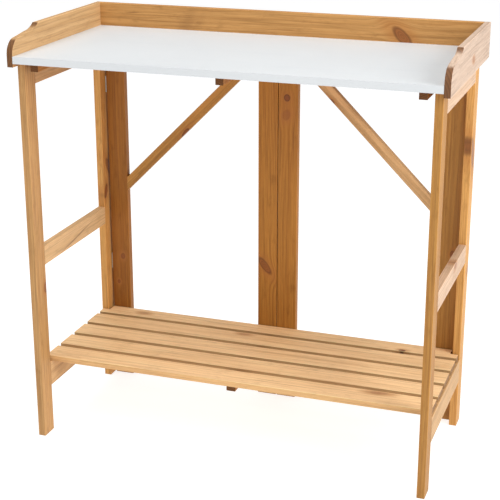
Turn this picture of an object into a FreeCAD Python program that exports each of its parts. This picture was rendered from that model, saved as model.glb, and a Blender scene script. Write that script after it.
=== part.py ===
"""Folding potting bench: a loose worktop cap and a loose slatted shelf on a hinged timber frame.

Millimetres, +Z up. X runs along the bench and Y from the front edge to the back.
The origin is on the floor, under the middle of the bench's overall box.
"""

import FreeCAD, Part
import math
import os

# ---- Worktop cap ----
inner_width = 952.0          # between the two side upstands
board_depth = 452.0          # front edge to the back upstand
work_height = 926.0          # floor to the work surface
board_thick = 15.0
sheet_thick = 1.0            # zinc sheet over the board, turned down over its front edge
upstand_thick = 14.0
upstand_rise = 56.0          # above the work surface
upstand_drop = 8.0           # below the underside of the board
nose_rise = 2.0              # straight part of an upstand's front, above the work surface
nose_radius = 35.0           # round top of an upstand's front
step_start = 85.0            # from the front to where the upstand steps up
step_run = 40.0
step_rise = 13.0
batten_width = 18.0
batten_height = 18.0
batten_front_gap = 17.0      # worktop battens' front ends, behind the board's front edge
batten_rear_gap = 4.0        # worktop battens' rear ends, in front of the back frame
batten_side_gap = 14.5       # outer battens, inside the side frames

# ---- Side frames ----
frame_play = 2.0             # side frame to side upstand
post_thick = 18.0            # along X
post_depth = 45.0            # along Y
post_setback = 17.0          # front posts, behind the worktop's front edge
frame_depth = 422.0          # front face of the front post to the rear face of the rear post
top_rail_height = 54.0
middle_rail_height = 45.0
middle_rail_base = 425.0     # floor to the rail's underside
bottom_rail_height = 60.0
bottom_rail_base = 116.0

# ---- Back frame, in two leaves ----
leaf_thick = 18.0
stile_width = 49.0
corner_gap = 4.0             # rear post to outer stile, where the hinge knuckles sit
seam_gap = 2.0               # between the two centre stiles
back_rail_height = 45.0
brace_width = 25.0

# ---- Shelf ----
slat_count = 5
slat_width = 61.0
last_slat_width = 49.0       # the rear slat, which is notched round the rear posts
slat_thick = 14.0
slat_end_inset = 4.0         # slat ends, inside the side frames' outer faces
shelf_front_gap = 8.0        # front posts to the first slat
shelf_rear_gap = 2.0         # last slat to the back frame
notch_side_gap = 5.0         # notch in the last slat, beside each rear post
notch_front_gap = 2.0        # the same notch, in front of each rear post
shelf_batten_width = 22.0
shelf_batten_height = 14.0
shelf_batten_end_gap = 8.0

# ---- Hinges ----
hinge_height = 40.0
hinge_leaf_thick = 1.0
hinge_leaf_width = 14.0      # from the pin's axis
knuckle_radius = 1.75
knuckle_gap = 0.3            # between knuckles along the pin, and from a knuckle to a plate
knuckle_clearance = 0.1      # from a corner hinge's knuckles to the timber beside them
pin_radius = 0.9
pin_clearance = 0.05
hinge_top_distance = 126.0   # top of the frame to an upper hinge's middle
hinge_low_height = 316.0     # floor to a lower hinge's middle
corner_pin_inset = 2.0       # pin's axis, behind the front face of the back frame

# ---- Fixings ----
ease = 1.2                   # rounded long edges of the timber
dowel_radius = 4.0
dowel_depth = 25.0           # into each of the two pieces
dowel_spacing = 24.0
brace_pin_radius = 3.0
brace_pin_depth = 16.0       # into each of the two pieces
brace_pin_place = 0.75       # along the brace's end, from the corner where it meets the stile or rail
screw_radius = 1.25
screw_head_radius = 2.6
screw_head_depth = 1.35
hinge_screw_length = 12.0
hinge_screw_spacing = 24.0
batten_screw_reach = 9.0     # into the board or slat above a batten
batten_screw_inset = 20.0    # from a worktop batten's ends to its first and last screws
worktop_screws_per_batten = 4
slat_screw_inset = 18.0      # from a slat's long edges to its two screws
nail_radius = 1.0
nail_head_radius = 1.8
nail_head_depth = 0.6
nail_length = 34.0
side_nail_first = 33.0       # from the front edge
side_nail_pitch = 151.0
side_nail_count = 3
back_nail_count = 5
corner_nail_spacing = 40.0

# ---- For cutting and for picking edges ----
cutter_excess = 1.0          # how far a cutter runs past the faces it opens
PARALLEL = 0.01              # sine of the angle below which an edge counts as parallel

# ---- Levels and lines that follow from the sizes above ----
total_depth = board_depth + upstand_thick
front = -total_depth / 2
board_top = work_height - sheet_thick
frame_top = board_top - board_thick
outer_x = inner_width / 2 - frame_play
inner_x = outer_x - post_thick
front_post_y = front + post_setback
front_post_rear_y = front_post_y + post_depth
frame_rear_y = front_post_y + frame_depth
rear_post_y = frame_rear_y - post_depth
leaf_y = frame_rear_y - leaf_thick
stile_outer_x = inner_x - corner_gap
stile_inner_x = stile_outer_x - stile_width
batten_rear_y = leaf_y - batten_rear_gap
centre_x = seam_gap / 2
centre_inner_x = centre_x + stile_width
back_rail_z = frame_top - back_rail_height
shelf_z = bottom_rail_base + bottom_rail_height
shelf_front_y = front_post_rear_y + shelf_front_gap
shelf_rear_y = leaf_y - shelf_rear_gap
slat_pitch = (shelf_rear_y - last_slat_width - shelf_front_y) / (slat_count - 1)
pin_offset = corner_gap / 2
corner_axis_x = inner_x - pin_offset
corner_axis_y = leaf_y + corner_pin_inset
hinge_levels = {"upper": frame_top - hinge_top_distance, "lower": hinge_low_height}

X = FreeCAD.Vector(1, 0, 0)
Y = FreeCAD.Vector(0, 1, 0)
Z = FreeCAD.Vector(0, 0, 1)
BRACE_SLOPE = FreeCAD.Vector(math.sqrt(0.5), 0, -math.sqrt(0.5))
ORIGIN = FreeCAD.Vector(0, 0, 0)


def save(name, pieces):
    """Write one node from one solid or from a list of separate solids."""
    pieces = pieces if isinstance(pieces, list) else [pieces]
    solids = [solid for piece in pieces for solid in piece.Solids]
    shape = solids[0] if len(solids) == 1 else Part.makeCompound(solids)
    shape.exportStep("parts/" + name + ".step")


def block(low, high):
    """A plain box between two corners."""
    size = [b - a for a, b in zip(low, high)]
    return Part.makeBox(size[0], size[1], size[2], FreeCAD.Vector(*low))


def parallel(edge, direction):
    return edge.tangentAt(edge.FirstParameter).cross(direction).Length < PARALLEL


def timber(low, high, along):
    """A box with its long edges, those parallel to along, rounded."""
    box = block(low, high)
    return box.makeFillet(ease, [edge for edge in box.Edges if parallel(edge, along)])


def rod(radius, length, start, direction):
    return Part.makeCylinder(radius, length, FreeCAD.Vector(*start), direction)


def mirror(shape):
    """The same piece on the other side of the plane x = 0."""
    return shape.mirror(ORIGIN, X)


def sided(side, shape):
    """A piece drawn on the right, moved to the side named."""
    return shape if side == "right" else mirror(shape)


def drill(piece, cutters):
    return piece.cut(Part.makeCompound(cutters))


def screw(head, direction, length):
    """A countersunk screw whose head's flat face is at head, pointing along direction."""
    place = FreeCAD.Vector(*head)
    cone = Part.makeCone(screw_head_radius, screw_radius, screw_head_depth, place, direction)
    shank = Part.makeCylinder(screw_radius, length, place, direction)
    return cone.fuse(shank)


def nail(head, direction):
    """A flat-headed nail, with its head let in flush at head."""
    place = FreeCAD.Vector(*head)
    disc = Part.makeCylinder(nail_head_radius, nail_head_depth, place, direction)
    shank = Part.makeCylinder(nail_radius, nail_length, place, direction)
    return disc.fuse(shank)


def spread(first, last, count):
    """Count evenly spaced places from first to last."""
    return [first + (last - first) * i / (count - 1) for i in range(count)]


# ---- Fixings of the side frame, drawn on the right ----
side_rails = {
    "top_rail": (frame_top - top_rail_height, top_rail_height),
    "middle_rail": (middle_rail_base, middle_rail_height),
    "bottom_rail": (bottom_rail_base, bottom_rail_height),
}


def frame_dowels():
    dowels = []
    for base, height in side_rails.values():
        for y in (front_post_rear_y, rear_post_y):
            for dz in (-dowel_spacing / 2, dowel_spacing / 2):
                start = (inner_x + post_thick / 2, y - dowel_depth, base + height / 2 + dz)
                dowels.append(rod(dowel_radius, 2 * dowel_depth, start, Y))
    return dowels


def leaf_dowels():
    """Dowels of the right leaf: two at each end of its rail, and a pin at each end of its brace."""
    dowels = []
    y = leaf_y + leaf_thick / 2
    for x in (centre_inner_x, stile_inner_x):
        for dz in (-dowel_spacing / 2, dowel_spacing / 2):
            start = (x - dowel_depth, y, back_rail_z + back_rail_height / 2 + dz)
            dowels.append(rod(dowel_radius, 2 * dowel_depth, start, X))
    low, low_top, high_right, high_left = brace_outline()
    into_stile = (low[0] - brace_pin_depth, y, low[1] + brace_pin_place * (low_top[1] - low[1]))
    into_rail_x = high_left[0] + brace_pin_place * (high_right[0] - high_left[0])
    into_rail = (into_rail_x, y, high_left[1] - brace_pin_depth)
    dowels.append(rod(brace_pin_radius, 2 * brace_pin_depth, into_stile, X))
    dowels.append(rod(brace_pin_radius, 2 * brace_pin_depth, into_rail, Z))
    return dowels


# ---- Brace of the right leaf ----
def brace_outline():
    """Corners of the 45 degree brace, which ends in the corner of rail and centre stile."""
    across = brace_width * math.sqrt(2)
    low_end = back_rail_z - (stile_inner_x - centre_inner_x)
    return [
        (stile_inner_x, low_end),
        (stile_inner_x, low_end + across),
        (centre_inner_x + across, back_rail_z),
        (centre_inner_x, back_rail_z),
    ]


def brace():
    points = [FreeCAD.Vector(x, leaf_y, z) for x, z in brace_outline()]
    face = Part.Face(Part.makePolygon(points + [points[0]]))
    bar = face.extrude(FreeCAD.Vector(0, leaf_thick, 0))
    return bar.makeFillet(ease, [edge for edge in bar.Edges if parallel(edge, BRACE_SLOPE)])


# ---- Hinges ----
def hinge_plate(own_knuckles):
    """A hinge leaf with its pin on the Z axis.

    The plate's outer face lies on the timber, at x = pin_offset, and runs along +Y from the pin.
    own_knuckles picks which of the three knuckles belong to this leaf.
    """
    third = hinge_height / 3
    plate_x = pin_offset - hinge_leaf_thick
    clear_y = knuckle_radius + knuckle_gap
    plate = block(
        (plate_x, clear_y, -hinge_height / 2),
        (plate_x + hinge_leaf_thick, hinge_leaf_width, hinge_height / 2),
    )
    pieces = []
    for i in own_knuckles:
        low = -hinge_height / 2 + i * third + (knuckle_gap / 2 if i > 0 else 0)
        high = -hinge_height / 2 + (i + 1) * third - (knuckle_gap / 2 if i < 2 else 0)
        pieces.append(rod(knuckle_radius, high - low, (0, 0, low), Z))
        pieces.append(block((plate_x, 0, low), (plate_x + hinge_leaf_thick, clear_y, high)))
    leaf = plate.multiFuse(pieces).removeSplitter()
    bore = rod(pin_radius + pin_clearance, hinge_height, (0, 0, -hinge_height / 2), Z)
    return leaf.cut(bore)


def hinge_screws():
    """The two screws of a leaf from hinge_plate, driven along +X."""
    plate_x = pin_offset - hinge_leaf_thick
    y = (knuckle_radius + knuckle_gap + hinge_leaf_width) / 2
    screws = []
    for dz in (-hinge_screw_spacing / 2, hinge_screw_spacing / 2):
        screws.append(screw((plate_x, y, dz), X, hinge_screw_length))
    return screws


def at_corner(shape, level):
    moved = shape.copy()
    moved.translate(FreeCAD.Vector(corner_axis_x, corner_axis_y, level))
    return moved


def at_seam(shape, level):
    """A hinge opened flat on the rear faces of the centre stiles, with its plate at +X."""
    moved = shape.copy()
    moved.rotate(ORIGIN, Z, -90)
    moved.translate(FreeCAD.Vector(0, frame_rear_y + pin_offset, level))
    return moved


def knuckle_reliefs():
    """Room for the corner hinges' knuckles, which takes timber away only where the gap is narrow."""
    relief = rod(knuckle_radius + knuckle_clearance, hinge_height, (0, 0, -hinge_height / 2), Z)
    return [at_corner(relief, z) for z in hinge_levels.values()]


outer_knuckles = (0, 2)
middle_knuckle = (1,)
frame_hinge_screws = [at_corner(s, z) for z in hinge_levels.values() for s in hinge_screws()]
stile_hinge_screws = [at_corner(mirror(s), z) for z in hinge_levels.values() for s in hinge_screws()]
seam_hinge_screws = [at_seam(s, z) for z in hinge_levels.values() for s in hinge_screws()]


def hinge_pin():
    return rod(pin_radius, hinge_height, (0, 0, -hinge_height / 2), Z)


# ---- Side frames ----
def make_side_frames():
    dowels = frame_dowels()
    holes = dowels + frame_hinge_screws + knuckle_reliefs()
    posts = {"front_post": front_post_y, "rear_post": rear_post_y}
    for side in ("left", "right"):
        for name, y in posts.items():
            post = timber((inner_x, y, 0), (outer_x, y + post_depth, frame_top), Z)
            save(side + "_" + name, sided(side, drill(post, holes)))
        for name, (base, height) in side_rails.items():
            low = (inner_x, front_post_rear_y, base)
            rail = timber(low, (outer_x, rear_post_y, base + height), Y)
            save(side + "_" + name, sided(side, drill(rail, dowels)))
        save(side + "_frame_dowels", [sided(side, d) for d in dowels])


# ---- Back frame ----
def make_back_frame():
    dowels = leaf_dowels()
    outer_holes = dowels + stile_hinge_screws + knuckle_reliefs()
    rear = frame_rear_y
    for side in ("left", "right"):
        outer = timber((stile_inner_x, leaf_y, 0), (stile_outer_x, rear, frame_top), Z)
        inner = timber((centre_x, leaf_y, 0), (centre_inner_x, rear, frame_top), Z)
        rail = timber((centre_inner_x, leaf_y, back_rail_z), (stile_inner_x, rear, frame_top), X)
        save(side + "_outer_stile", sided(side, drill(outer, outer_holes)))
        save(side + "_centre_stile", sided(side, drill(inner, dowels + seam_hinge_screws)))
        save(side + "_back_rail", sided(side, drill(rail, dowels)))
        save(side + "_brace", sided(side, drill(brace(), dowels)))
        save(side + "_leaf_dowels", [sided(side, d) for d in dowels])


# ---- Hinges in place ----
def make_hinges():
    frame_leaf = drill(hinge_plate(middle_knuckle), hinge_screws())
    stile_leaf = drill(mirror(hinge_plate(outer_knuckles)), [mirror(s) for s in hinge_screws()])
    seam_leaf_right = drill(hinge_plate(middle_knuckle), hinge_screws())
    seam_leaf_left = drill(hinge_plate(outer_knuckles), hinge_screws())
    for side in ("left", "right"):
        for level, z in hinge_levels.items():
            name = side + "_" + level + "_hinge"
            save(name + "_frame_leaf", sided(side, at_corner(frame_leaf, z)))
            save(name + "_stile_leaf", sided(side, at_corner(stile_leaf, z)))
        pins = [at_corner(hinge_pin(), z) for z in hinge_levels.values()]
        save(side + "_hinge_pins", [sided(side, pin) for pin in pins])
        save(side + "_frame_hinge_screws", [sided(side, s) for s in frame_hinge_screws])
        leaf_screws = stile_hinge_screws + seam_hinge_screws
        save(side + "_leaf_hinge_screws", [sided(side, s) for s in leaf_screws])
    for level, z in hinge_levels.items():
        save("centre_" + level + "_hinge_right_leaf", at_seam(seam_leaf_right, z))
        save("centre_" + level + "_hinge_left_leaf", mirror(at_seam(seam_leaf_left, z)))
    save("centre_hinge_pins", [at_seam(hinge_pin(), z) for z in hinge_levels.values()])


# ---- Worktop cap ----
def side_nails():
    """Nails of the right upstand: into the board's end, and into the back upstand's end."""
    x = inner_width / 2 + upstand_thick
    board_middle = board_top - board_thick / 2
    nails = []
    for i in range(side_nail_count):
        y = front + side_nail_first + i * side_nail_pitch
        nails.append(nail((x, y, board_middle), -X))
    corner_y = front + board_depth + upstand_thick / 2
    corner_z = work_height + upstand_rise / 2 - corner_nail_spacing / 2
    for dz in (0, corner_nail_spacing):
        nails.append(nail((x, corner_y, corner_z + dz), -X))
    return nails


def back_nails():
    y = front + total_depth
    margin = inner_width / 2 - inner_width / (2 * back_nail_count)
    nails = []
    for x in spread(-margin, margin, back_nail_count):
        nails.append(nail((x, y, board_top - board_thick / 2), -Y))
    return nails


def worktop_batten_lines():
    outer = inner_x - batten_side_gap - batten_width / 2
    return {"left": -outer, "centre": 0.0, "right": outer}


def worktop_screws():
    first = front + batten_front_gap + batten_screw_inset
    last = batten_rear_y - batten_screw_inset
    screws = []
    for x in worktop_batten_lines().values():
        for y in spread(first, last, worktop_screws_per_batten):
            head = (x, y, frame_top - batten_height)
            screws.append(screw(head, Z, batten_height + batten_screw_reach))
    return screws


def side_upstand():
    """The right upstand, with a round nose at its front and then a hollow step up."""
    low = frame_top - upstand_drop
    top = work_height + upstand_rise
    nose_top = work_height + nose_rise + nose_radius
    step_low = top - step_rise
    rear = front + total_depth
    step_y = front + step_start
    half = math.sqrt(0.5)

    def at(y, z):
        return FreeCAD.Vector(inner_width / 2, y, z)

    nose_low = nose_top - nose_radius
    nose_middle = at(front + nose_radius * (1 - half), nose_top - nose_radius * (1 - half))
    step_radius = (step_run ** 2 + step_rise ** 2) / (2 * step_rise)
    step_drop = step_radius - math.sqrt(step_radius ** 2 - (step_run / 2) ** 2)
    edges = [
        Part.makeLine(at(front, low), at(front, nose_low)),
        Part.Arc(at(front, nose_low), nose_middle, at(front + nose_radius, nose_top)).toShape(),
        Part.makeLine(at(front + nose_radius, nose_top), at(step_y, step_low)),
        Part.Arc(
            at(step_y, step_low),
            at(step_y + step_run / 2, step_low + step_drop),
            at(step_y + step_run, top),
        ).toShape(),
        Part.makeLine(at(step_y + step_run, top), at(rear, top)),
        Part.makeLine(at(rear, top), at(rear, low)),
        Part.makeLine(at(rear, low), at(front, low)),
    ]
    board = Part.Face(Part.Wire(edges)).extrude(FreeCAD.Vector(upstand_thick, 0, 0))
    outline = [edge for edge in board.Edges if not parallel(edge, X)]
    return board.makeFillet(ease, [edge for edge in outline if edge.BoundBox.ZMax > frame_top])


def make_worktop():
    half = inner_width / 2
    rear = front + board_depth
    board = block((-half, front + sheet_thick, frame_top), (half, rear, board_top))
    nails = side_nails()
    left_nails = [mirror(n) for n in nails]
    rear_nails = back_nails()
    screws = worktop_screws()
    save("worktop_board", drill(board, nails + left_nails + rear_nails + screws))
    top_skin = block((-half, front, board_top), (half, rear, work_height))
    lip = block((-half, front, frame_top), (half, front + sheet_thick, board_top))
    save("worktop_sheet", top_skin.fuse(lip).removeSplitter())
    upstand = drill(side_upstand(), nails)
    save("right_upstand", upstand)
    save("left_upstand", mirror(upstand))
    low = (-half, rear, frame_top - upstand_drop)
    back = timber(low, (half, rear + upstand_thick, work_height + upstand_rise), X)
    save("back_upstand", drill(back, nails + left_nails + rear_nails))
    for name, x in worktop_batten_lines().items():
        low = (x - batten_width / 2, front + batten_front_gap, frame_top - batten_height)
        high = (x + batten_width / 2, batten_rear_y, frame_top)
        save(name + "_worktop_batten", drill(timber(low, high, Y), screws))
    save("upstand_nails", nails + left_nails + rear_nails)
    save("worktop_screws", screws)


# ---- Shelf ----
def slat_spans():
    """Front and rear line of each slat, with even gaps between them."""
    starts = [shelf_front_y + i * slat_pitch for i in range(slat_count)]
    spans = [(start, start + slat_width) for start in starts[:-1]]
    spans.append((starts[-1], shelf_rear_y))
    return spans


def shelf_screws():
    screws = []
    for start, end in slat_spans():
        for y in (start + slat_screw_inset, end - slat_screw_inset):
            head = (0, y, shelf_z - shelf_batten_height)
            screws.append(screw(head, Z, shelf_batten_height + batten_screw_reach))
    return screws


def make_shelf():
    screws = shelf_screws()
    half = outer_x - slat_end_inset
    slat_top = shelf_z + slat_thick
    for i, (start, end) in enumerate(slat_spans()):
        slat = timber((-half, start, shelf_z), (half, end, slat_top), X)
        if i == slat_count - 1:
            inner = (inner_x - notch_side_gap, rear_post_y - notch_front_gap, shelf_z - cutter_excess)
            outer = (half + cutter_excess, end + cutter_excess, slat_top + cutter_excess)
            notch = block(inner, outer)
            slat = slat.cut(notch).cut(mirror(notch))
        save("shelf_slat_" + str(i + 1), drill(slat, screws))
    low = (-shelf_batten_width / 2, shelf_front_y + shelf_batten_end_gap, shelf_z - shelf_batten_height)
    high = (shelf_batten_width / 2, shelf_rear_y - shelf_batten_end_gap, shelf_z)
    save("shelf_batten", drill(timber(low, high, Y), screws))
    save("shelf_screws", screws)


os.makedirs("parts", exist_ok=True)
make_worktop()
make_side_frames()
make_back_frame()
make_hinges()
make_shelf()
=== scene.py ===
"""Looks of a folding potting bench: stained softwood, a pale metal-topped work surface, plated hinges."""

import math

import bpy
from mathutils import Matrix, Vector


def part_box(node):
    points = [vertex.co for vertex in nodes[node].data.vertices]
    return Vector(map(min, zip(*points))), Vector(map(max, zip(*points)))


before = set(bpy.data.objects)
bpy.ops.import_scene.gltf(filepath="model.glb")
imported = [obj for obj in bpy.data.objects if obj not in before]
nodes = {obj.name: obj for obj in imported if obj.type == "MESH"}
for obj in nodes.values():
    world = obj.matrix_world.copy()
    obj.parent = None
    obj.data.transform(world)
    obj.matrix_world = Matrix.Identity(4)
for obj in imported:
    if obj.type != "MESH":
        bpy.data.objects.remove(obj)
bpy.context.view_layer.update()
scene = bpy.context.scene

ORIGIN = Vector((0, 0, 0))
X = Vector((1, 0, 0))
Y = Vector((0, 1, 0))
Z = Vector((0, 0, 1))
# The two diagonals of the back frame, for the braces.
FALL = Vector((math.sqrt(0.5), 0, -math.sqrt(0.5)))
RISE = Vector((math.sqrt(0.5), 0, math.sqrt(0.5)))


# ---- Shader building ----
class Value:
    """A socket that takes part in sums, each of which adds a Math node."""

    def __init__(self, paint, socket):
        self.paint = paint
        self.socket = socket

    def __add__(self, other):
        return self.paint.maths("ADD", self, other)

    def __radd__(self, other):
        return self.paint.maths("ADD", other, self)

    def __sub__(self, other):
        return self.paint.maths("SUBTRACT", self, other)

    def __rsub__(self, other):
        return self.paint.maths("SUBTRACT", other, self)

    def __mul__(self, other):
        return self.paint.maths("MULTIPLY", self, other)

    def __rmul__(self, other):
        return self.paint.maths("MULTIPLY", other, self)

    def __truediv__(self, other):
        return self.paint.maths("DIVIDE", self, other)

    def __pow__(self, other):
        return self.paint.maths("POWER", self, other)

    def __neg__(self):
        return self.paint.maths("MULTIPLY", self, -1.0)


class Paint:
    """One material and the nodes in it."""

    def __init__(self, name):
        self.material = bpy.data.materials.new(name)
        self.material.use_nodes = True
        self.tree = self.material.node_tree
        self.tree.nodes.clear()
        self.places = Value(self, self.add("TexCoord").outputs["Object"])

    def add(self, kind):
        return self.tree.nodes.new("ShaderNode" + kind)

    def node(self, kind, settings, inputs, output=0):
        """A node of that kind, with its settings made first and then its sockets filled."""
        made = self.add(kind)
        for name, setting in settings.items():
            setattr(made, name, setting)
        for name, value in inputs.items():
            self.fill(made.inputs[name], value)
        return Value(self, made.outputs[output])

    def fill(self, socket, value):
        if isinstance(value, Value):
            self.tree.links.new(value.socket, socket)
        elif isinstance(value, tuple) and socket.type == "RGBA":
            socket.default_value = (*value, 1.0)
        else:
            socket.default_value = value

    # -- short names for the nodes used most --
    def maths(self, operation, *values):
        return self.node("Math", {"operation": operation}, dict(enumerate(values)))

    def blend(self, factor, first, second, way="MIX"):
        """Two colours mixed by a factor."""
        settings = {"data_type": "RGBA", "blend_type": way}
        return self.node("Mix", settings, {0: factor, 6: first, 7: second}, output=2)

    def step(self, value, low, high):
        """0 below low and 1 above high, smooth between, and the other way round if low is the larger."""
        if low > high:
            return 1.0 - self.step(value, high, low)
        settings = {"interpolation_type": "SMOOTHSTEP"}
        return self.node("MapRange", settings, {0: value, 1: low, 2: high})

    def least(self, first, second):
        return self.maths("MINIMUM", first, second)

    def most(self, first, second):
        return self.maths("MAXIMUM", first, second)

    def size(self, value):
        return self.maths("ABSOLUTE", value)

    def part(self, value):
        return self.maths("FRACT", value)

    def dot(self, first, second):
        return self.node("VectorMath", {"operation": "DOT_PRODUCT"}, {0: first, 1: second}, output=1)

    def along(self, direction, middle=ORIGIN):
        """Distance from middle along a direction, on the piece's own coordinates."""
        shifted = self.node("VectorMath", {"operation": "SUBTRACT"}, {0: self.places, 1: middle})
        return self.dot(shifted, direction)

    def facing(self, direction):
        """1 where the surface faces that way, -1 where it faces the other way."""
        return self.dot(Value(self, self.add("TexCoord").outputs["Normal"]), direction)

    def tint(self, colour, share):
        """A colour darkened to a share of itself, and turned a little redder with it."""
        return self.blend(1.0, colour, (share, share * 0.88, share * 0.72), way="MULTIPLY")

    def point(self, x, y, z):
        return self.node("CombineXYZ", {}, {0: x, 1: y, 2: z})

    def noise(self, place, scale, detail, rough=0.5):
        inputs = {"Vector": place, "Scale": scale, "Detail": detail, "Roughness": rough}
        return self.node("TexNoise", {"noise_dimensions": "3D"}, inputs)

    def shade(self, colour, rough, height, depth, metal=0.0, specular=0.5):
        """The shader itself, with its bump, joined to the output."""
        inputs = {
            "Base Color": colour,
            "Roughness": rough,
            "Metallic": metal,
            "Normal": self.node("Bump", {}, {"Height": height, "Distance": depth, "Strength": 1.0}),
            "Specular IOR Level": specular,
        }
        self.join_output(self.node("BsdfPrincipled", {}, inputs))
        return self.material

    def join_output(self, shader):
        out = self.add("OutputMaterial")
        self.tree.links.new(shader.socket, out.inputs["Surface"])


def darker(colour, share):
    return tuple(c * share for c in colour)


def lighter(colour, share):
    return tuple(min(1.0, c * share) for c in colour)


def put(node, material):
    """Give a CAD node its finish."""
    slots = nodes[node].data.materials
    if len(slots) == 0:
        slots.append(material)
    for i in range(len(slots)):
        slots[i] = material


# ---- Timber ----
# Tones, early wood and late wood: mostly the stain, though some also carry painted light, as noted at
# each.
# The first is paler than the stain alone: it also carries painted light falling on the shelf slats under
# the worktop.
STRAW_WITH_PAINTED_LIGHT = ((0.97, 0.655, 0.355), (0.79, 0.49, 0.235))
CREAM = ((0.76, 0.50, 0.26), (0.60, 0.37, 0.165))
WHEAT = ((0.62, 0.38, 0.18), (0.47, 0.26, 0.10))
PALE = ((0.55, 0.31, 0.12), (0.41, 0.20, 0.066))
GOLDEN = ((0.54, 0.28, 0.092), (0.39, 0.175, 0.045))
HONEY = ((0.70, 0.37, 0.11), (0.50, 0.22, 0.052))
OCHRE = ((0.47, 0.23, 0.055), (0.34, 0.142, 0.028))
AMBER = ((0.47, 0.205, 0.036), (0.33, 0.12, 0.017))
UMBER = ((0.38, 0.15, 0.024), (0.26, 0.088, 0.011))
# The next two are paler and greyer: on top of the stain they carry a painted sheen, the bright
# surroundings seen on the right-hand outer faces.
PAINTED_SHEEN_ROSY = ((0.66, 0.46, 0.31), (0.53, 0.33, 0.20))
PAINTED_SHEEN_BLUSH = ((0.58, 0.43, 0.325), (0.46, 0.31, 0.215))
KNOT_HEART = (0.25, 0.072, 0.018)
KNOT_RIM = (0.05, 0.016, 0.006)
KNOT_HALO = (0.40, 0.15, 0.035)
END_GRAIN = (0.17, 0.068, 0.022)
RESIN = (0.15, 0.055, 0.018)

# Layers of figure: changes per metre along the grain and across it, detail, roughness.
SLOW = (2.2, 9.0, 2.0, 0.5)
WANDER = (6.0, 22.0, 3.0, 0.5)
FIBRE = (16.0, 900.0, 3.0, 0.6)
PORES = (45.0, 2600.0, 1.0, 0.5)
BAND = (1.1, 60.0, 3.0, 0.55)
PATCH = (7.0, 30.0, 3.0, 0.5)
FLOW = (4.5, 230.0, 4.0, 0.6)
MOTTLE = (26.0, 75.0, 4.0, 0.6)

SEED_STEP = 7.3  # how far the figure is moved from one seed to the next
RING = 0.0042  # width of a year's growth
PITH = 0.03  # how far outside the piece the middle of the tree lay
RISING_LATE = (0.25, 0.85)  # where in a ring the late wood comes in
FALLING_LATE = (1.0, 0.9)  # and where it stops
KNOT_BEND = 0.75  # share by which the grain is drawn round a knot, at its middle
KNOT_SPREAD = 0.22  # how soon that dies away
# The pale edge band below is a painted highlight as well as wear.
WEAR_AND_HIGHLIGHT_EDGE = (0.0022, 0.0004)  # metres from an edge, none to most
STAINED_EDGE = (0.006, 0.002)
# The narrow-face mask below sets where the painted shade falls.
SHADED_NARROW_FACE = (0.5, 0.9)  # how squarely a surface faces across the piece, none to all
SAWN_END = (0.18, 0.55)  # the same along the grain
TIMBER_DEPTH = 0.00035
TIMBER_SPECULAR = 0.25
# A slanted brace's box doesn't give its half width. This is 1.5 mm more than it, which leaves
# a brace's edges with less of the pale edge band, painted highlight and wear, than those of the other
# pieces.
BRACE_HALF = 0.014


def layer(paint, figure, x, y, z, shift):
    """One layer of figure, moved along x, y and z so that each piece has its own."""
    along, across, detail, rough = figure
    scaled = (x * along, y * across, z * across)
    place = [value + move if move else value for value, move in zip(scaled, shift)]
    return paint.noise(paint.point(*place), 1.0, detail, rough)


def knot_distance(x, y, knot):
    """0 at the knot's middle and 1 at its rim."""
    place_x, place_y, radius, stretch, turn = knot[:5]
    cos, sin = math.cos(math.radians(turn)), math.sin(math.radians(turn))
    dx, dy = x - place_x, y - place_y
    long_way = (dx * cos + dy * sin) / (radius * stretch)
    short_way = (dy * cos - dx * sin) / radius
    return (long_way * long_way + short_way * short_way) ** 0.5


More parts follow.
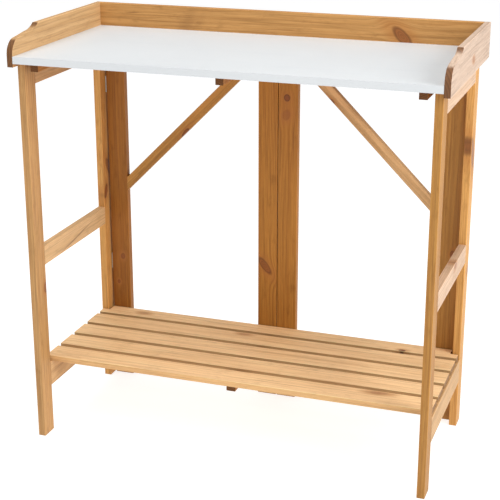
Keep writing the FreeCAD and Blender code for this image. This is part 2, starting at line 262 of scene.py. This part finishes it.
def timber(node, grain, face, tone, seed, knots=(), streaks=(), ring=RING, pith=PITH, end=0.8, painted_side_shade=1.0):
    """A stained softwood piece.

    grain runs along the piece and face across its wide side. A knot is (along, across, radius,
    stretch, turn, depth of colour) from the piece's middle, and a streak is (along, across,
    length, width, turn, depth of colour). end is how dark the sawn ends are, and the last
    argument sets a painted shade on the two narrow long faces, standing for the shade between slats.
    """
    low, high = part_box(node)
    middle = (low + high) / 2
    half = (high - low) / 2
    thick = grain.cross(face)
    half_face = sum(abs(f) * h for f, h in zip(face, half)) if grain in (X, Y, Z) else BRACE_HALF
    half_thick = sum(abs(t) * h for t, h in zip(thick, half))
    paint = Paint(node + "_stain")
    x = paint.along(grain, middle)
    y = paint.along(face, middle)
    z = paint.along(thick, middle)
    shift = SEED_STEP * seed
    slow = layer(paint, SLOW, x, y, z, (shift, 0, 0))
    wander = layer(paint, WANDER, x, y, z, (shift, 0, shift))

    # The grain is pushed aside round each knot.
    bent = y
    masks = []
    for knot in knots:
        reach = knot_distance(x, y, knot) + (wander - 0.5) * 0.5
        pull = paint.maths("EXPONENT", -(reach * reach) * KNOT_SPREAD)
        bent = bent - (y - knot[1]) * pull * KNOT_BEND
        masks.append((reach, knot[5]))

    # Rings round a pith that lies outside the piece, a little uneven.
    dy = bent - pith * math.sin(1.7 * seed)
    dz = z - (-pith - half_thick)
    uneven = (slow - 0.5) * 0.02
    radius = (dy * dy + dz * dz) ** 0.5 + uneven + (wander - 0.5) * 0.003 + x * 0.006
    rings = paint.part(radius / ring)
    late = paint.step(rings, *RISING_LATE) * paint.step(rings, *FALLING_LATE)
    fibre = layer(paint, FIBRE, x, y, z, (shift, 0, 0))
    pores = layer(paint, PORES, x, y, z, (0, 0, shift))
    band = layer(paint, BAND, x, y, z, (shift, 0, 0))
    patch = layer(paint, PATCH, x, y, z, (0, shift, 0))
    flow = layer(paint, FLOW, x, bent, z, (-shift, 0, 0))
    mottle = layer(paint, MOTTLE, x, bent, z, (shift, 0, 0))

    early_colour, late_colour = tone
    deep = darker(late_colour, 0.62)
    light = lighter(early_colour, 1.16)
    strength = paint.step(slow, 0.25, 0.75) * 0.35 + 0.25
    colour = paint.blend(late * strength, early_colour, late_colour)
    # Each layer, where it starts to show, where it shows in full, how strongly, in which tone.
    washes = (
        (band, 0.42, 0.75, 0.55, late_colour),
        (patch, 0.50, 0.80, 0.35, light),
        (flow, 0.46, 0.72, 0.55, deep),
        (flow, 0.44, 0.28, 0.35, light),
        (mottle, 0.52, 0.80, 0.45, deep),
        (fibre, 0.48, 0.75, 0.50, deep),
        (pores, 0.60, 0.80, 0.30, deep),
    )
    for shown, start, full, share, wash in washes:
        colour = paint.blend(paint.step(shown, start, full) * share, colour, wash)
    for along, across, length, width, turn, depth in streaks:
        streak_y = y + (wander - 0.5) * 0.012
        reach = knot_distance(x, streak_y, (along, across, width, length / width, turn))
        dark = paint.step(reach, 1.3, 0.2) * (0.4 + fibre * 0.9) * depth
        colour = paint.blend(paint.least(dark, 0.9), colour, RESIN)
    for reach, depth in masks:
        colour = paint.blend(paint.step(reach, 3.2, 1.0) * 0.55, colour, KNOT_HALO)
        core_rings = paint.part(reach * 3.5)
        core = paint.blend(paint.step(core_rings, 0.3, 1.0) * 0.5, KNOT_HEART, KNOT_RIM)
        core = paint.blend(paint.step(reach, 0.65, 1.0) * depth, core, KNOT_RIM)
        colour = paint.blend(paint.step(reach, 1.25, 0.85) * depth, colour, core)

    # Edges are paler, a painted highlight that also stands for handling wear, and a little smoother from
    # that wear; the line just inside them holds more stain.
    edge = paint.most(half_face - paint.size(y), half_thick - paint.size(z))
    wear_and_highlight = paint.step(edge, *WEAR_AND_HIGHLIGHT_EDGE) * paint.step(patch, 0.3, 0.6)
    stained = paint.step(edge, *STAINED_EDGE) * paint.step(wander, 0.4, 0.7) * 0.25
    colour = paint.blend(stained, colour, late_colour)
    colour = paint.blend(wear_and_highlight * 0.55, colour, lighter(early_colour, 1.3))

    # Some pieces get painted shade on their narrow long faces, and the sawn ends drink the most stain.
    if painted_side_shade < 1.0:
        shaded_sides = paint.step(paint.size(paint.facing(face)), *SHADED_NARROW_FACE)
        colour = paint.blend(shaded_sides, colour, paint.tint(colour, painted_side_shade))
    ends = paint.step(paint.size(paint.facing(grain)), *SAWN_END)
    end_colour = paint.blend(late * 0.6 + fibre * 0.2, END_GRAIN, darker(END_GRAIN, 0.45))
    colour = paint.blend(ends * end, colour, end_colour)

    rough = 0.50 + fibre * 0.16 - late * 0.07 - wear_and_highlight * 0.08 + ends * 0.2
    height = late * 0.35 + fibre * 0.45 + pores * 0.2
    for reach, _ in masks:
        height = height + paint.step(reach, 1.3, 0.9) * 0.5
        rough = rough - paint.step(reach, 1.3, 0.8) * 0.1
    put(node, paint.shade(colour, rough, height, TIMBER_DEPTH, specular=TIMBER_SPECULAR))


# -- worktop cap --
timber("back_upstand", X, Z, GOLDEN, 1, ring=0.0065, pith=0.06,
       knots=((0.290, -0.002, 0.0125, 2.3, -43, 0.72),),
       streaks=((-0.246, -0.004, 0.050, 0.022, 62, 0.34),
                (-0.213, 0.0, 0.04, 0.012, 68, 0.16),
                (-0.387, 0.02, 0.02, 0.0014, 3, 0.8)))
timber("left_upstand", Y, Z, WHEAT, 2, end=0.95, ring=0.006, pith=0.05)
# The right upstand's tone carries a painted sheen.
timber("right_upstand", Y, Z, PAINTED_SHEEN_BLUSH, 3, end=0.95, ring=0.006, pith=0.05,
       knots=((0.02, -0.008, 0.005, 1.8, -8, 0.4),))
for seed, side in enumerate(("left", "centre", "right"), start=4):
    timber(side + "_worktop_batten", Y, X, AMBER, seed, end=0.95)

# -- side frames --
timber("left_front_post", Z, Y, PALE, 7, knots=((-0.085, 0.018, 0.007, 1.7, 5, 0.7),), ring=0.0052)
timber("left_rear_post", Z, Y, HONEY, 8, ring=0.005,
       knots=((0.115, 0.008, 0.009, 2.8, -28, 0.7), (0.055, -0.012, 0.008, 2.2, 20, 0.8)),
       streaks=((0.14, 0.012, 0.06, 0.006, 4, 0.8),))
timber("left_top_rail", Y, Z, WHEAT, 9, ring=0.005)
timber("left_middle_rail", Y, Z, CREAM, 10, streaks=((0.0, -0.006, 0.11, 0.0020, 9, 0.7),), ring=0.0055)
timber("left_bottom_rail", Y, Z, WHEAT, 11, ring=0.005)
timber("right_front_post", Z, Y, OCHRE, 12, ring=0.005)
timber("right_rear_post", Z, Y, HONEY, 13, ring=0.005,
       knots=((0.235, -0.008, 0.013, 2.8, -20, 0.75), (-0.06, 0.012, 0.006, 1.6, 10, 0.7)))
# The right rails' tone carries a painted sheen.
timber("right_top_rail", Y, Z, PAINTED_SHEEN_ROSY, 14, ring=0.0055)
timber("right_middle_rail", Y, Z, PAINTED_SHEEN_ROSY, 15, knots=((0.033, 0.016, 0.006, 1.7, 10, 0.6),), ring=0.0055)
timber("right_bottom_rail", Y, Z, WHEAT, 16, ring=0.0055)

# -- back frame --
timber("left_outer_stile", Z, X, UMBER, 17, ring=0.006,
       knots=((-0.123, 0.006, 0.006, 1.3, 5, 0.7), (-0.195, -0.008, 0.004, 1.2, 0, 0.7)))
timber("left_centre_stile", Z, X, AMBER, 18, knots=((-0.105, -0.006, 0.009, 2.8, -38, 0.7),), ring=0.006)
timber("right_centre_stile", Z, X, AMBER, 19, ring=0.0062, pith=0.02,
       knots=((0.328, -0.003, 0.0070, 1.15, 0, 0.9), (0.286, -0.004, 0.009, 1.4, 15, 0.35)))
timber("right_outer_stile", Z, X, OCHRE, 20, knots=((-0.02, 0.01, 0.005, 1.5, 10, 0.7),), ring=0.006)
timber("left_back_rail", X, Z, AMBER, 21, ring=0.005)
timber("right_back_rail", X, Z, AMBER, 22, ring=0.005)
timber("left_brace", RISE, FALL, OCHRE, 23,
       knots=((-0.02, 0.0, 0.006, 2.6, -12, 0.8),),
       streaks=((0.03, 0.004, 0.03, 0.003, 5, 0.8),))
timber("right_brace", FALL, RISE, WHEAT, 24, knots=((-0.135, -0.002, 0.0055, 2.0, 15, 0.8),))


# -- shelf --
# The slats' pale tone also carries painted light on the shelf.
def slat(number, knots=(), streaks=(), painted_side_shade=0.5):
    seed = 24 + number
    timber(f"shelf_slat_{number}", X, Y, STRAW_WITH_PAINTED_LIGHT, seed, knots, streaks, ring=0.0065, pith=0.05, painted_side_shade=painted_side_shade)


# Each slat's narrow long faces get painted shade; the front slat gets less than the faces in the gaps.
slat(1, knots=((0.340, 0.020, 0.006, 3.2, 5, 0.25),), painted_side_shade=0.8)
slat(2, streaks=((0.14, 0.018, 0.09, 0.0022, 1, 0.4),))
slat(3)
slat(4, knots=((-0.06, 0.020, 0.004, 3.0, 0, 0.25),))
slat(5, knots=((0.336, -0.020, 0.005, 1.6, 0, 1.0), (-0.355, 0.0, 0.005, 2.2, 0, 0.2)))
timber("shelf_batten", Y, X, AMBER, 30, end=0.9)
timber("worktop_board", X, Y, HONEY, 31, ring=0.007, pith=0.08)
for dowels in ("left_frame_dowels", "right_frame_dowels"):
    timber(dowels, Y, Z, PALE, 32)
for dowels in ("left_leaf_dowels", "right_leaf_dowels"):
    timber(dowels, X, Z, PALE, 33)


# ---- Metal ----
SHEET_DULL = (0.62, 0.645, 0.66)
SHEET_BRIGHT = (0.67, 0.69, 0.70)
SPANGLE = (0.72, 0.74, 0.755)
SMEAR = (0.58, 0.61, 0.64)
RUB_MARK = (0.50, 0.52, 0.54)
SHEET_DEPTH = 0.0002
SHEET_METAL = 0.15
HINGE_TINT = (0.62, 0.60, 0.54)
SCREW_TINT = (0.60, 0.53, 0.38)
NAIL_TINT = (0.20, 0.165, 0.135)
THIN_PLATING = (0.20, 0.15, 0.10)
PLATING_DEPTH = 0.00008
PLATING_METAL = 0.9


def zinc_sheet():
    """Pale coated sheet: a faint spangle, fine rubbing marks and duller patches."""
    paint = Paint("zinc_sheet_coated")
    cells = paint.node("TexVoronoi", {"feature": "F1"}, {"Vector": paint.places, "Scale": 90.0}, output=1)
    spangle = paint.node("SeparateColor", {}, {0: cells})
    haze = paint.noise(paint.places, 3.5, 4.0)
    x, y = paint.along(X), paint.along(Y)
    smear = paint.noise(paint.point(x * 3.0, y * 26.0, 0.0), 1.0, 3.0)
    rub = paint.noise(paint.point(x * 14.0, y * 900.0, 0.0), 1.0, 2.0)
    marks = paint.step(rub, 0.66, 0.76)
    colour = paint.blend(haze, SHEET_DULL, SHEET_BRIGHT)
    colour = paint.blend(spangle * 0.10, colour, SPANGLE)
    colour = paint.blend(paint.step(smear, 0.5, 0.8) * 0.25, colour, SMEAR)
    colour = paint.blend(marks * 0.18, colour, RUB_MARK)
    rough = 0.40 + haze * 0.12 + spangle * 0.05 + marks * 0.1
    height = smear * 0.5 + spangle * 0.1
    put("worktop_sheet", paint.shade(colour, rough, height, SHEET_DEPTH, metal=SHEET_METAL))


def plated(name, seed, tint, members):
    """Dull plated steel with darker spots where the plating has thinned."""
    paint = Paint(name)
    grain = paint.noise(paint.places, 420.0 + 10.0 * seed, 3.0)
    spots = paint.step(paint.noise(paint.places, 130.0 + 7.0 * seed, 4.0), 0.55, 0.75)
    brushed = paint.point(paint.along(X) * 2500.0, paint.along(Y) * 2500.0, paint.along(Z) * 60.0)
    brush = paint.noise(brushed, 1.0, 2.0)
    colour = paint.blend(grain * 0.5, tint, darker(tint, 0.72))
    colour = paint.blend(spots * 0.6, colour, THIN_PLATING)
    rough = 0.30 + grain * 0.15 + spots * 0.25
    height = grain * 0.4 + brush * 0.5
    material = paint.shade(colour, rough, height, PLATING_DEPTH, metal=PLATING_METAL)
    for member in members:
        put(member, material)


zinc_sheet()
hinge_nodes = [n for n in nodes if "_hinge_" in n and n.endswith("_leaf")]
pin_nodes = [n for n in nodes if n.endswith("hinge_pins")]
screw_nodes = [n for n in nodes if n.endswith("_screws")]
plated("hinge_plating", 1, HINGE_TINT, hinge_nodes + pin_nodes)
plated("screw_plating", 2, SCREW_TINT, screw_nodes)
plated("nail_steel_bright", 3, NAIL_TINT, ["upstand_nails"])


# ---- Floor, light and camera ----
FLOOR_WIDTH = 60.0
FLOOR_DROP = 0.001  # keeps the feet from sharing a plane with the floor
FLOOR_GREY = (0.40, 0.40, 0.405)
FLOOR_PALE = (0.42, 0.42, 0.425)
FLOOR_GLOW = 0.80
BACKDROP_GLOW = 0.4
LENS_LENGTH = 93.8
SENSOR_WIDTH = 36.0
CAMERA_REACH = 150.0
CAMERA_PLACE = (0.9372, -2.7373, 1.4553)
CAMERA_TURN = (math.radians(70.964), 0.0, math.radians(19.025))
# Name, place, what it is aimed at, width, power.
LAMPS = (
    ("key", (3.0, -0.9, 2.1), (0, 0, 0.35), 2.0, 90),
    ("overhead", (-0.4, -0.8, 3.6), (0, 0, 0.4), 3.0, 90),
    ("fill", (-2.2, -3.0, 1.5), (0, 0, 0.3), 2.4, 5),
)


def floor():
    bpy.ops.object.select_all(action="DESELECT")
    bpy.ops.mesh.primitive_plane_add(size=FLOOR_WIDTH, location=(0, 0, -FLOOR_DROP))
    plane = bpy.context.object
    plane.name = "floor"
    paint = Paint("floor_pale")
    inputs = {
        "Base Color": paint.blend(paint.noise(paint.places, 2.0, 3.0), FLOOR_GREY, FLOOR_PALE),
        "Roughness": 0.7,
        "Emission Color": (1, 1, 1),
        "Emission Strength": FLOOR_GLOW,
    }
    paint.join_output(paint.node("BsdfPrincipled", {}, inputs))
    plane.data.materials.append(paint.material)


def soft_light(name, place, target, width, power):
    lamp = bpy.data.lights.new(name, "AREA")
    lamp.size = width
    lamp.energy = power
    item = bpy.data.objects.new(name, lamp)
    item.location = place
    item.rotation_euler = (Vector(target) - Vector(place)).to_track_quat("-Z", "Y").to_euler()
    scene.collection.objects.link(item)


def studio():
    world = bpy.data.worlds.new("studio")
    world.use_nodes = True
    backdrop = world.node_tree.nodes["Background"]
    backdrop.inputs["Color"].default_value = (1.0, 1.0, 1.0, 1.0)
    backdrop.inputs["Strength"].default_value = BACKDROP_GLOW
    scene.world = world
    for lamp in LAMPS:
        soft_light(*lamp)
    scene.view_settings.view_transform = "Standard"


def camera():
    lens = bpy.data.cameras.new("camera")
    lens.sensor_width = SENSOR_WIDTH
    lens.lens = LENS_LENGTH
    lens.clip_end = CAMERA_REACH
    item = bpy.data.objects.new("camera", lens)
    item.location = CAMERA_PLACE
    item.rotation_euler = CAMERA_TURN
    scene.collection.objects.link(item)
    scene.camera = item


floor()
studio()
camera()
